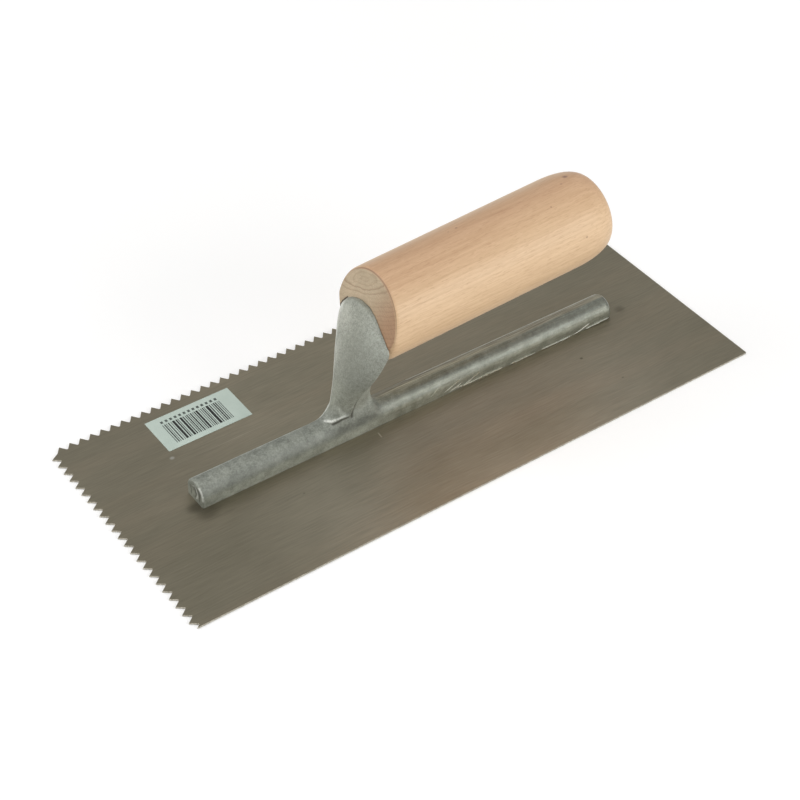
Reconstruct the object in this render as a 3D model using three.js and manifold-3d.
// Notched trowel: a steel spreading blade with V notches on one long and one short edge, riveted from
// below to a cast alloy shank that carries a turned beech handle. Millimetres, +Z up.
// Origin: the centre of the blade's underside. +X runs along the blade's length towards its plain
// short edge, +Y across it towards the notched long edge.
// "Front" is the -X end, with the notched short edge; "rear" is the +X end.

import * as THREE from "three";
import { mergeVertices } from "three/addons/utils/BufferGeometryUtils.js";
import Module from "manifold-3d";

const wasm = await Module();
wasm.setup();
const { Manifold } = wasm;

// ---- dimensions shared between pieces -----------------------------------------------------------

const BLADE_THICK = 0.7;

const RIVET_XS = [-90, -60, -30, 0, 30, 60, 90];
const RIVET_HEAD_RADIUS = 3.5; // at the blade's underside
const RIVET_NECK_RADIUS = 2.5; // where the head meets the bar
const RIVET_TOP = 6.2;
const RIVET_FACETS = 28;
const RIVET_HOLE_OVERRUN = 0.2; // how far the cutters for rivet holes run past a face

// Two points on the handle's axis. Distances along the axis are measured from AXIS_A.
const AXIS_A = new THREE.Vector3(-40, 0, 56.1);
const AXIS_B = new THREE.Vector3(80, 0, 62.3);
const HANDLE_FRONT = 17.2; // where the axis meets the handle's front face
const FACE_SLOPE = 5.5 / 19.5; // the front face's lean: mm rearward per mm above the axis

const GAP = 0.3; // between the casting and the wood
const SPIGOT_RADIUS = 4.6;
const SPIGOT_LENGTH = 22;
const SPIGOT_FACETS = 32;

const SCREW_HOLE_RADIUS = 2.7;
const SCREW_HOLE_FACETS = 28;
const RECESS_FLOOR = 125.5; // distance along the axis to the floor of the rear recess
const SEAT_PLAY = 0.05; // under the washer, and again under the screw head
const WASHER_THICK = 1.2;

// ---- solids and geometries ----------------------------------------------------------------------

function toSolid(geometry) {
  geometry.deleteAttribute("normal");
  geometry.deleteAttribute("uv");
  const merged = mergeVertices(geometry, 1e-4);
  return new Manifold(
    new wasm.Mesh({
      numProp: 3,
      vertProperties: new Float32Array(merged.attributes.position.array),
      triVerts: new Uint32Array(merged.index.array),
    }),
  );
}

function toGeometry(solid) {
  const { vertProperties, triVerts } = solid.getMesh();
  const geometry = new THREE.BufferGeometry();
  geometry.setAttribute("position", new THREE.Float32BufferAttribute(vertProperties, 3));
  geometry.setIndex(new THREE.Uint32BufferAttribute(triVerts, 1));
  geometry.computeVertexNormals();
  return geometry;
}

// A closed solid through rings of points. Every ring has the same count and turns the same way:
// seen from the last ring looking back at the first, the points run counter-clockwise.
function loft(rings) {
  const count = rings[0].length;
  const positions = rings.flat().flatMap((point) => point.toArray());
  const index = [];
  for (let i = 0; i + 1 < rings.length; i++) {
    for (let j = 0; j < count; j++) {
      const here = i * count + j;
      const next = i * count + ((j + 1) % count);
      index.push(here, next, next + count, here, next + count, here + count);
    }
  }

  // a fan from the ring's mean point
  const cap = (ringNumber, flip) => {
    const middle = rings[ringNumber]
      .reduce((sum, point) => sum.add(point), new THREE.Vector3())
      .multiplyScalar(1 / count);
    const hub = positions.length / 3;
    positions.push(...middle.toArray());
    for (let j = 0; j < count; j++) {
      const here = ringNumber * count + j;
      const next = ringNumber * count + ((j + 1) % count);
      if (flip) index.push(hub, next, here);
      else index.push(hub, here, next);
    }
  };
  cap(0, true);
  cap(rings.length - 1, false);

  const geometry = new THREE.BufferGeometry();
  geometry.setAttribute("position", new THREE.Float32BufferAttribute(positions, 3));
  geometry.setIndex(index);
  return toSolid(geometry);
}

// Turned about +Y. Profile rows are [radius, distance along the axis].
function lathe(profile, facets) {
  const points = profile.map(([radius, along]) => new THREE.Vector2(radius, along));
  return new THREE.LatheGeometry(points, facets);
}

// Turned about +Z.
const uprightLathe = (profile, facets) => lathe(profile, facets).rotateX(Math.PI / 2);

// One upright cutter at each rivet, straight or tapered.
function rivetCutters(lowRadius, highRadius, low, high) {
  const profile = [
    [0, low],
    [lowRadius, low],
    [highRadius, high],
    [0, high],
  ];
  return Manifold.union(
    RIVET_XS.map((x) => toSolid(uprightLathe(profile, RIVET_FACETS)).translate([x, 0, 0])),
  );
}

const lerp = (from, to, t) => from + (to - from) * t;
const clamp01 = (t) => Math.min(1, Math.max(0, t));

// Smooth (Catmull-Rom) lookup in a table of [key, value] rows with rising keys, held at both ends.
function lookUp(rows, key) {
  const last = rows.length - 1;
  if (key <= rows[0][0]) return rows[0][1];
  if (key >= rows[last][0]) return rows[last][1];
  let i = 0;
  while (rows[i + 1][0] < key) i++;
  const slopeBetween = (from, to) =>
    (rows[to][1] - rows[from][1]) / (rows[to][0] - rows[from][0]);
  const step = rows[i + 1][0] - rows[i][0];
  const startSlope = slopeBetween(Math.max(i - 1, 0), i + 1);
  const endSlope = slopeBetween(i, Math.min(i + 2, last));
  const t = (key - rows[i][0]) / step;
  const t2 = t * t;
  const t3 = t2 * t;
  return (
    (2 * t3 - 3 * t2 + 1) * rows[i][1] +
    (t3 - 2 * t2 + t) * startSlope * step +
    (-2 * t3 + 3 * t2) * rows[i + 1][1] +
    (t3 - t2) * endSlope * step
  );
}

// ---- the handle's axis --------------------------------------------------------------------------

const AXIS = AXIS_B.clone().sub(AXIS_A).normalize();
const ACROSS = new THREE.Vector3(0, 1, 0);
const UP = new THREE.Vector3().crossVectors(AXIS, ACROSS).normalize(); // square to the axis

// Carries a piece turned about +Y onto the handle's axis, with its +Z along UP.
const ONTO_AXIS = new THREE.Matrix4()
  .makeBasis(ACROSS.clone().negate(), AXIS, UP)
  .setPosition(AXIS_A);

// The point at a distance along the axis, y across it and height up from it.
const onAxis = (along, y, height) =>
  AXIS_A.clone()
    .addScaledVector(AXIS, along)
    .addScaledVector(ACROSS, y)
    .addScaledVector(UP, height);

// A ring round the axis, counter-clockwise seen from the rear. stationAt takes the sine of the
// angle, 1 at the top and -1 at the bottom, and gives the radius and the distance along the axis.
function ringBy(facets, slope, stationAt) {
  return Array.from({ length: facets }, (_, j) => {
    const angle = (j / facets) * 2 * Math.PI;
    const sine = Math.sin(angle);
    const { radius, along } = stationAt(sine);
    const height = radius * sine;
    return onAxis(along + slope * height, radius * Math.cos(angle), height);
  });
}

const axisRing = (facets, radius, along, slope = 0) =>
  ringBy(facets, slope, () => ({ radius, along }));

const axisCylinder = (radius, start, end, facets, startSlope = 0) =>
  loft([axisRing(facets, radius, start, startSlope), axisRing(facets, radius, end)]);

// ---- blade --------------------------------------------------------------------------------------

const BLADE_LENGTH = 280; // 11 in
const BLADE_WIDTH = 115; // 4 1/2 in
const CORNER_RADIUS = 0.6; // the corner between the two plain edges
const CORNER_STEPS = 3;

const NOTCH_DEPTH = 3.17; // 1/8 in
const LONG_PITCH = 4.8; // tips along the long edge, about 3/16 in
const LONG_FIRST = 5.8; // the first long-edge tip, from the notched short edge
const LONG_TIPS = Math.floor((BLADE_LENGTH - LONG_FIRST) / LONG_PITCH) + 1;
const SHORT_PITCH = 4.824; // tips along the short edge
const SHORT_FIRST = 5.147; // the first short-edge tip, from the notched long edge
const SHORT_TIPS = 23;
const NOTCHED_CORNER = [-136.45, 54.56]; // where both rows of notches run out into each other

const VALLEY_ROUND = 0.45; // half-width of the small radius in each valley
// A valley's rounding, as fractions of VALLEY_ROUND: [offset along the edge, width whose flank
// height the point takes].
const VALLEY_POINTS = [[1, 1], [0.35, 0.55], [-0.35, 0.55], [-1, 1]];

const COUNTERSINK_GAP = 0.3;

// Counter-clockwise seen from above, from the -X end of the plain long edge.
function bladeOutline() {
  const right = BLADE_LENGTH / 2;
  const left = -right;
  const far = BLADE_WIDTH / 2;
  const near = -far;
  const points = [];
  const put = (x, y) => points.push(new THREE.Vector2(x, y));

  // the plain long edge starts where it cuts the flank beyond the last short-edge valley
  const lastTip = far - (SHORT_FIRST + SHORT_PITCH * (SHORT_TIPS - 1));
  const lastValley = lastTip - SHORT_PITCH / 2;
  const cut = (lastValley - near) / (SHORT_PITCH / 2);
  put(left + NOTCH_DEPTH * (1 - cut), near);

  for (let i = 0; i <= CORNER_STEPS; i++) {
    const angle = lerp(-Math.PI / 2, 0, i / CORNER_STEPS);
    put(
      right - CORNER_RADIUS + CORNER_RADIUS * Math.cos(angle),
      near + CORNER_RADIUS + CORNER_RADIUS * Math.sin(angle),
    );
  }

  // the plain short edge ends on a notch flank; then the notched long edge, +X to -X
  const longTip = (k) => left + LONG_FIRST + LONG_PITCH * k;
  const longRise = NOTCH_DEPTH / (LONG_PITCH / 2);
  put(right, far - longRise * (right - longTip(LONG_TIPS - 1)));
  for (let k = LONG_TIPS - 1; k > 0; k--) {
    put(longTip(k), far);
    const valley = longTip(k) - LONG_PITCH / 2;
    for (const [along, width] of VALLEY_POINTS)
      put(valley + VALLEY_ROUND * along, far - NOTCH_DEPTH + longRise * VALLEY_ROUND * width);
  }
  put(longTip(0), far);
  put(...NOTCHED_CORNER);

  // notched short edge, +Y to -Y
  const shortRise = NOTCH_DEPTH / (SHORT_PITCH / 2);
  for (let k = 0; k < SHORT_TIPS; k++) {
    const tip = far - (SHORT_FIRST + SHORT_PITCH * k);
    put(left, tip);
    const valley = tip - SHORT_PITCH / 2;
    for (const [along, width] of VALLEY_POINTS)
      put(left + NOTCH_DEPTH - shortRise * VALLEY_ROUND * width, valley + VALLEY_ROUND * along);
  }
  return points;
}

function makeBlade() {
  const sheet = toSolid(
    new THREE.ExtrudeGeometry(new THREE.Shape(bladeOutline()), {
      depth: BLADE_THICK,
      bevelEnabled: false,
      steps: 1,
    }),
  );
  // countersinks keep their taper past both faces
  const taper = (RIVET_HEAD_RADIUS - RIVET_NECK_RADIUS) / BLADE_THICK;
  const holes = rivetCutters(
    RIVET_HEAD_RADIUS + COUNTERSINK_GAP + taper * RIVET_HOLE_OVERRUN,
    RIVET_NECK_RADIUS + COUNTERSINK_GAP - taper * RIVET_HOLE_OVERRUN,
    -RIVET_HOLE_OVERRUN,
    BLADE_THICK + RIVET_HOLE_OVERRUN,
  );
  return toGeometry(sheet.subtract(holes));
}

// ---- rivets -------------------------------------------------------------------------------------

const RIVET_RADIUS = 2.3;
const RIVET_CHAMFER = 0.6;

function makeRivet() {
  return uprightLathe(
    [
      [0, 0],
      [RIVET_HEAD_RADIUS, 0],
      [RIVET_NECK_RADIUS, BLADE_THICK],
      [RIVET_RADIUS, BLADE_THICK],
      [RIVET_RADIUS, RIVET_TOP - RIVET_CHAMFER],
      [RIVET_RADIUS - RIVET_CHAMFER, RIVET_TOP],
      [0, RIVET_TOP],
    ],
    RIVET_FACETS,
  );
}

// ---- shank: the bar ------------------------------------------------------------------------------

const BAR_START = -104.5; // X of the bar's ends
const BAR_END = 106.4;
const BAR_HALF = 6; // half the bar's width
const BAR_TALL = 10.3; // height above the blade, from the front end to BAR_FALL_START
const BAR_LOW = 9.2; // and at the rear end
const BAR_FALL_START = -30; // X where the top starts to fall
const BAR_FOOT = 0.35; // how far the side walls draw in at the blade
const BAR_WALL = 0.995; // half-width midway up the side walls, as a share of the full half
const BAR_CROWN_STEPS = 14;
const BAR_STATIONS = [-98, -80, -60, -30, 0, 30, 60, 90]; // X of the full sections

// length along X, inset of sides and top at the end face, foot at the end face
const BAR_RIM = { length: 1.5, inset: 1.125, foot: 0.95, steps: 4 };
// length along X, fall of the top, draw-in of each side
const BAR_NOSE = { length: 3, drop: 2.1, pinch: 0.9, steps: 5 };

const barTop = (x) =>
  BLADE_THICK +
  lerp(BAR_TALL, BAR_LOW, clamp01((x - BAR_FALL_START) / (BAR_END - BAR_FALL_START)));

// One cross-section in the YZ plane: flat foot, side walls, half-round crown.
function barRing(x, half, top, foot) {
  const spring = top - half; // where the crown springs
  const wallMiddle = lerp(BLADE_THICK, spring, 0.5);
  const ring = [
    new THREE.Vector3(x, -(half - foot), BLADE_THICK),
    new THREE.Vector3(x, -half * BAR_WALL, wallMiddle),
  ];
  for (let i = 0; i <= BAR_CROWN_STEPS; i++) {
    const angle = Math.PI - (i / BAR_CROWN_STEPS) * Math.PI;
    ring.push(new THREE.Vector3(x, half * Math.cos(angle), spring + half * Math.sin(angle)));
  }
  ring.push(
    new THREE.Vector3(x, half * BAR_WALL, wallMiddle),
    new THREE.Vector3(x, half - foot, BLADE_THICK),
  );
  return ring.reverse();
}

function makeBar() {
  const rings = [];
  // front end: a flat end face with a small rounded rim
  for (let i = 0; i <= BAR_RIM.steps; i++) {
    const t = i / BAR_RIM.steps;
    const angle = t * (Math.PI / 2);
    const x = BAR_START + BAR_RIM.length * (1 - Math.cos(angle));
    const inset = BAR_RIM.inset * (1 - Math.sin(angle));
    const foot = lerp(BAR_RIM.foot, BAR_FOOT, t);
    rings.push(barRing(x, BAR_HALF - inset, barTop(BAR_START) - inset, foot));
  }
  for (const x of BAR_STATIONS) rings.push(barRing(x, BAR_HALF, barTop(x), BAR_FOOT));
  // rear end: the crown runs down in a small radius
  for (let i = 0; i <= BAR_NOSE.steps; i++) {
    const angle = (i / BAR_NOSE.steps) * (Math.PI / 2);
    const x = BAR_END - BAR_NOSE.length + BAR_NOSE.length * Math.sin(angle);
    const turned = 1 - Math.cos(angle);
    const half = BAR_HALF - BAR_NOSE.pinch * turned;
    rings.push(barRing(x, half, barTop(BAR_END) - BAR_NOSE.drop * turned, BAR_FOOT));
  }
  return loft(rings);
}

// ---- shank: the seat shield and the neck below it ------------------------------------------------

const NECK_TOP = 62.2; // Z of the shield's top
const RAKE = 0.2271; // X gained per mm of Z by the handle's front face
const FACE_X = -22.8; // X and Z of that face on the handle's axis
const FACE_Z = 57;

// [Z, half-width]
const SHIELD_WIDTHS = [
  [4, 4.6], [9, 4.8], [12, 5.4], [16, 5.95], [20, 6.9], [24, 8.4],
  [28, 10.3], [32, 12.2], [36, 13.9], [40, 15.2], [44, 16.3], [47, 17.0],
  [50, 17.4], [51.5, 17.0], [53, 16.0], [54.5, 14.9], [57.5, 11.6], [59, 9.9],
  [60.3, 7.9], [61.2, 5.8], [61.9, 3.6], [NECK_TOP, 1.6],
];
// [Z, how far the crowned front stands ahead of the raked plane]
const SHIELD_FRONTS = [
  [4, 5.8], [9, 6.8], [12, 7.1], [16, 7.3], [22, 7.2], [28, 6.8], [34, 6.0],
  [40, 5.1], [46, 4.4], [52, 3.8], [56, 3.3], [59, 2.8], [61, 2.4], [NECK_TOP, 1.9],
];
// [Z, Y of the middle]: the top stands towards the notched long edge, the widest part away from it
const SHIELD_MIDDLES = [
  [9, 0], [12, 0.5], [18, 0.55], [24, 0.35], [28, 0.15], [32, -0.05],
  [36, -0.3], [40, -0.65], [44, -0.85], [47, -1.05], [50, -1.25], [51.5, -0.9],
  [53, -0.15], [54.5, 0.65], [57.5, 1.9], [59, 2.15], [NECK_TOP, 2.3],
];
const SHIELD_HEIGHTS = [
  5, 8, 12, 16, 20, 24, 28, 32, 36, 40, 44, 47,
  50, 51.5, 53, 54.5, 56, 57.5, 59, 60.3, 61.2, 61.7, 62, NECK_TOP,
];
const SHIELD_LIP = 1.5; // thickness of the shield's edge ahead of the raked plane
const SHIELD_LIP_POWER = 6; // higher makes the lips squarer
const SHIELD_CROWN_POWER = 1.05;
const SHIELD_BACK = 1.6; // how far the flat back lies behind the raked plane
const SHIELD_BACK_WIDTH = 0.98; // the back's width, as a share of the front's
const SHIELD_FRONT_STEPS = 22;
const SHIELD_BACK_STEPS = 6;

const rakedX = (z) => FACE_X + (z - FACE_Z) * RAKE;

function shieldRing(z) {
  const half = lookUp(SHIELD_WIDTHS, z);
  const front = lookUp(SHIELD_FRONTS, z);
  const middle = lookUp(SHIELD_MIDDLES, z);
  const plane = rakedX(z);
  const ring = [];
  // front: a crown between two rounded lips, from -Y to +Y
  for (let i = 0; i <= SHIELD_FRONT_STEPS; i++) {
    const t = -1 + (2 * i) / SHIELD_FRONT_STEPS;
    const lip = SHIELD_LIP * Math.sqrt(1 - Math.abs(t) ** SHIELD_LIP_POWER);
    const crown = (front - SHIELD_LIP) * (1 - t * t) ** SHIELD_CROWN_POWER;
    ring.push(new THREE.Vector3(plane - crown - lip, middle + half * t, z));
  }
  // back: flat, from +Y to -Y
  for (let i = 1; i < SHIELD_BACK_STEPS; i++) {
    const t = 1 - (2 * i) / SHIELD_BACK_STEPS;
    const y = middle + half * t * SHIELD_BACK_WIDTH;
    ring.push(new THREE.Vector3(plane + SHIELD_BACK, y, z));
  }
  return ring.reverse();
}

const makeShield = () => loft(SHIELD_HEIGHTS.map(shieldRing));

// ---- shank: the web behind the shield ------------------------------------------------------------

// [Z, half-width]
const WEB_WIDTHS = [
  [4, 3.9], [12, 4.2], [16, 4.5], [22, 5.2], [30, 7.6], [36, 9.4], [44, 11.5],
];
// [Z, how far the rounded back stands behind the raked plane]
const WEB_BACKS = [
  [4, 15.0], [9, 13.9], [12, 12.2], [16, 10.9], [22, 10.1], [30, 9.9], [36, 10.8], [44, 12.8],
];
const WEB_HEIGHTS = [5, 8, 10, 12, 14, 17, 20, 24, 28, 32, 36, 40, 43];
const WEB_STEPS = 12;
const WEB_BACK_POWER = 0.85; // these two powers square up the rounded back
const WEB_SIDE_POWER = 0.8;
const WEB_SUNK = 1.5; // how far the web reaches forward into the shield
const WEB_SUNK_WIDTH = 0.96; // its width there, as a share of the full width

function webRing(z) {
  const half = lookUp(WEB_WIDTHS, z);
  const back = lookUp(WEB_BACKS, z);
  const plane = rakedX(z);
  const ring = [];
  for (let i = 0; i <= WEB_STEPS; i++) {
    const angle = -Math.PI / 2 + (i / WEB_STEPS) * Math.PI;
    const sine = Math.sin(angle);
    const x = plane + back * Math.cos(angle) ** WEB_BACK_POWER;
    const y = half * Math.sign(sine) * Math.abs(sine) ** WEB_SIDE_POWER;
    ring.push(new THREE.Vector3(x, y, z));
  }
  ring.push(
    new THREE.Vector3(plane - WEB_SUNK, half * WEB_SUNK_WIDTH, z),
    new THREE.Vector3(plane - WEB_SUNK, -half * WEB_SUNK_WIDTH, z),
  );
  return ring;
}

const makeWeb = () => loft(WEB_HEIGHTS.map(webRing));

// ---- shank: the fillets that spread the neck's root along the bar --------------------------------

const ROOT = {
  start: -52, // X of the two ends
  end: -11,
  steps: 26,
  frontX: -38.2, // the fillets run out from here towards -X
  frontRun: 8.6,
  backX: -21.8, // and from here towards +X
  backRun: 6.5,
  rise: 8.5, // greatest height above the bar
  sunk: 0.25, // how far the run-outs lie below the bar's top
  lowHalf: BAR_HALF - 0.35, // half-width at the run-outs
  highHalf: 4.3, // half-width at the full rise
  waist: 0.12, // share of the width lost at the full rise, growing towards the crown
  baseDepth: 5, // where the crown springs, below the bar's top
  keelDepth: 1.5, // flat underside, below that
  keelWidth: 0.9, // its width, as a share of the full width
  crownPower: 0.9,
  crownSteps: 10,
};

function rootRing(x) {
  const runOut = Math.max((ROOT.frontX - x) / ROOT.frontRun, (x - ROOT.backX) / ROOT.backRun);
  const fullness = (1 - clamp01(runOut)) ** 3;
  const half = lerp(ROOT.lowHalf, ROOT.highHalf, fullness);
  const top = barTop(x) - ROOT.sunk + ROOT.rise * fullness;
  const base = barTop(x) - ROOT.baseDepth;
  const ring = [];
  for (let j = 0; j <= ROOT.crownSteps; j++) {
    const angle = Math.PI - (j / ROOT.crownSteps) * Math.PI;
    const sine = Math.sin(angle);
    const y = half * Math.cos(angle) * (1 - ROOT.waist * sine * fullness);
    ring.push(new THREE.Vector3(x, y, base + (top - base) * sine ** ROOT.crownPower));
  }
  ring.push(
    new THREE.Vector3(x, half * ROOT.keelWidth, base - ROOT.keelDepth),
    new THREE.Vector3(x, -half * ROOT.keelWidth, base - ROOT.keelDepth),
  );
  return ring.reverse();
}

function makeRoot() {
  const rings = [];
  for (let i = 0; i <= ROOT.steps; i++)
    rings.push(rootRing(lerp(ROOT.start, ROOT.end, i / ROOT.steps)));
  return loft(rings);
}

// ---- shank: the whole casting --------------------------------------------------------------------

const SPIGOT_ROOT = 0.9; // how far the spigot starts ahead of the handle's front
const SPIGOT_BORE_START = 2; // the screw hole's start behind the handle's front
const SPIGOT_BORE_OVERRUN = 3;
const RIVET_HOLE_RADIUS = 2.5;
const RIVET_HOLE_SPARE = 0.6; // depth of a blind hole beyond its rivet

function makeShank() {
  const spigotEnd = HANDLE_FRONT + SPIGOT_LENGTH;
  const spigot = axisCylinder(
    SPIGOT_RADIUS,
    HANDLE_FRONT - SPIGOT_ROOT,
    spigotEnd,
    SPIGOT_FACETS,
    FACE_SLOPE,
  );
  const screwHole = axisCylinder(
    SCREW_HOLE_RADIUS,
    HANDLE_FRONT + SPIGOT_BORE_START,
    spigotEnd + SPIGOT_BORE_OVERRUN,
    SCREW_HOLE_FACETS,
  );
  const rivetHoles = rivetCutters(
    RIVET_HOLE_RADIUS,
    RIVET_HOLE_RADIUS,
    -RIVET_HOLE_OVERRUN,
    RIVET_TOP + RIVET_HOLE_SPARE,
  );
  // the casting is cut back clear of the wood before the spigot is added
  const casting = Manifold.union([makeBar(), makeShield(), makeWeb(), makeRoot()])
    .subtract(handleForm(GAP))
    .add(spigot)
    .subtract(screwHole)
    .subtract(rivetHoles);
  return toGeometry(casting);
}

// ---- handle -------------------------------------------------------------------------------------

const HANDLE_FACETS = 72;
const HANDLE_REAR = 132; // distance along the axis
const HANDLE_RADIUS_A = 19.4; // at AXIS_A
const HANDLE_RADIUS_B = 20; // at AXIS_B
const HANDLE_EDGE = 1.6; // rounding of the front rim
const HANDLE_HEEL = 6; // extra rounding of that rim at the bottom, over the casting's web
const HEEL_POWER = 1.1; // how the extra rounding gathers towards the bottom
const EDGE_INWARD = 0.8; // the rounding's radial size, as a share of its length
const EDGE_STEPS = 4;
const FRONT_CLEARANCE = 0.6; // share of the growth that goes to the front face

// [distance along the axis, share of the front face's lean]
const SIDE_STATIONS = [[28, 0.15], [34, 0], [44, 0], [60, 0], [80, 0], [100, 0]];

const DOME_LENGTH = 17.6;
const DOME_FLAT_RADIUS = 11.3;
const DOME_POWER = 0.56;
const DOME_STEPS = 12;

const SPIGOT_BORE_LEAD = 8; // the handle's bore starts this far ahead of its front
const SPIGOT_BORE_SPARE = 2; // and runs this far past the spigot
const SCREW_BORE_START = 10; // behind the handle's front
const SCREW_BORE_OVERRUN = 2; // past the recess floor
const RECESS_RADIUS = 8.2;
const RECESS_OVERRUN = 5;
const RECESS_FACETS = 36;

const handleRadius = (along) =>
  lerp(HANDLE_RADIUS_A, HANDLE_RADIUS_B, along / AXIS_A.distanceTo(AXIS_B));

// The handle's outer form, grown by a margin.
function handleForm(grow) {
  const rings = [];
  const front = HANDLE_FRONT - grow * FRONT_CLEARANCE;
  const frontRadius = handleRadius(HANDLE_FRONT) + grow;
  // front rim: a rounding between the raked face and the side
  for (let i = 0; i <= EDGE_STEPS; i++) {
    const angle = (i / EDGE_STEPS) * (Math.PI / 2);
    rings.push(
      ringBy(HANDLE_FACETS, FACE_SLOPE, (sine) => {
        const edge = HANDLE_EDGE + HANDLE_HEEL * Math.max(0, -sine) ** HEEL_POWER;
        return {
          radius: frontRadius - edge * EDGE_INWARD * (1 - Math.sin(angle)),
          along: front + edge * (1 - Math.cos(angle)),
        };
      }),
    );
  }
  for (const [along, lean] of SIDE_STATIONS)
    rings.push(axisRing(HANDLE_FACETS, handleRadius(along) + grow, along, FACE_SLOPE * lean));
  // rear dome, down to a flat end
  const domeStart = HANDLE_REAR - DOME_LENGTH;
  const sideRadius = handleRadius(domeStart) + grow;
  const flatRadius = DOME_FLAT_RADIUS + grow;
  for (let i = 0; i <= DOME_STEPS; i++) {
    const angle = (i / DOME_STEPS) * (Math.PI / 2);
    const radius = lerp(flatRadius, sideRadius, Math.cos(angle) ** DOME_POWER);
    const along = domeStart + grow + DOME_LENGTH * Math.sin(angle);
    rings.push(axisRing(HANDLE_FACETS, radius, along));
  }
  return loft(rings);
}

function makeHandle() {
  const spigotBore = axisCylinder(
    SPIGOT_RADIUS + GAP,
    HANDLE_FRONT - SPIGOT_BORE_LEAD,
    HANDLE_FRONT + SPIGOT_LENGTH + SPIGOT_BORE_SPARE,
    SPIGOT_FACETS,
  );
  const screwHole = axisCylinder(
    SCREW_HOLE_RADIUS,
    HANDLE_FRONT + SCREW_BORE_START,
    RECESS_FLOOR + SCREW_BORE_OVERRUN,
    SCREW_HOLE_FACETS,
  );
  const recess = axisCylinder(
    RECESS_RADIUS,
    RECESS_FLOOR,
    HANDLE_REAR + RECESS_OVERRUN,
    RECESS_FACETS,
  );
  return toGeometry(handleForm(0).subtract(spigotBore).subtract(screwHole).subtract(recess));
}

// ---- washer and screw in the handle's rear recess ------------------------------------------------

const WASHER_RADIUS = 7.5;
const WASHER_HOLE_RADIUS = SCREW_HOLE_RADIUS + 0.1;
const WASHER_CHAMFER = 0.2;
const WASHER_FACETS = 36;

const SCREW_RADIUS = 2.4;
const SCREW_TIP = 22; // distance along the axis
const SCREW_TIP_INSET = 0.9;
const SCREW_TIP_TAPER = 1;
const SCREW_FACETS = 32;
const HEAD_RADIUS = 4.7;
const HEAD_TALL = 3.2;
// [share of HEAD_RADIUS, share of HEAD_TALL]
const HEAD_PROFILE = [[1, 0], [1, 0.55], [0.9, 0.82], [0.68, 1], [0, 1]];
const SLOT_WIDE = 1.3;
const SLOT_DEEP = 1.6;

const lathedOnAxis = (profile, facets) =>
  toSolid(lathe(profile, facets).applyMatrix4(ONTO_AXIS));

function makeWasher() {
  const front = RECESS_FLOOR + SEAT_PLAY;
  const rear = front + WASHER_THICK;
  const washer = lathedOnAxis(
    [
      [WASHER_HOLE_RADIUS, front],
      [WASHER_RADIUS - WASHER_CHAMFER, front],
      [WASHER_RADIUS, front + WASHER_CHAMFER],
      [WASHER_RADIUS, rear - WASHER_CHAMFER],
      [WASHER_RADIUS - WASHER_CHAMFER, rear],
      [WASHER_HOLE_RADIUS, rear],
      [WASHER_HOLE_RADIUS, front],
    ],
    WASHER_FACETS,
  );
  return toGeometry(washer);
}

function makeScrew() {
  const seat = RECESS_FLOOR + SEAT_PLAY + WASHER_THICK + SEAT_PLAY;
  const screw = lathedOnAxis(
    [
      [0, SCREW_TIP],
      [SCREW_RADIUS - SCREW_TIP_INSET, SCREW_TIP],
      [SCREW_RADIUS, SCREW_TIP + SCREW_TIP_TAPER],
      [SCREW_RADIUS, seat],
      ...HEAD_PROFILE.map(([out, along]) => [HEAD_RADIUS * out, seat + HEAD_TALL * along]),
    ],
    SCREW_FACETS,
  );
  // upright screwdriver slot, its cutter centred on the head's rear face
  const slot = new THREE.BoxGeometry(SLOT_WIDE, SLOT_DEEP * 2, HEAD_RADIUS * 3)
    .translate(0, seat + HEAD_TALL, 0)
    .applyMatrix4(ONTO_AXIS);
  return toGeometry(screw.subtract(toSolid(slot)));
}

// ---- price label on the blade's top face ---------------------------------------------------------

const LABEL = { x: -78.6, y: 40, length: 40, width: 20, thick: 0.12 };

const makeLabel = () => new THREE.BoxGeometry(LABEL.length, LABEL.width, LABEL.thick);

// ---- materials ----------------------------------------------------------------------------------

const material = (color, roughness, metalness) =>
  new THREE.MeshStandardMaterial({ color, roughness, metalness });
const steel = (color) => material(color, 0.42, 1);
const castAlloy = () => material(0x8c9187, 0.55, 0.9);
const beech = () => material(0xdebe96, 0.6, 0);
const labelPaper = () => material(0xc8d7cd, 0.7, 0);

// ---- the assembly -------------------------------------------------------------------------------

function add(parent, name, geometry, surface) {
  const mesh = new THREE.Mesh(geometry, surface);
  mesh.name = name;
  parent.add(mesh);
  return mesh;
}

const trowel = new THREE.Group();
add(trowel, "blade", makeBlade(), steel(0x736c5f));

const mounting = new THREE.Group();
trowel.add(mounting);
add(mounting, "shank", makeShank(), castAlloy());
RIVET_XS.forEach((x, i) => {
  add(mounting, `rivet_${i + 1}`, makeRivet(), steel(0x8a877f)).position.x = x;
});

const grip = new THREE.Group();
trowel.add(grip);
add(grip, "handle", makeHandle(), beech());
add(grip, "handle_washer", makeWasher(), steel(0x9a9a96));
add(grip, "handle_screw", makeScrew(), steel(0x8f8f8b));

const label = add(trowel, "price_label", makeLabel(), labelPaper());
label.position.set(LABEL.x, LABEL.y, BLADE_THICK + LABEL.thick / 2);

export default trowel;
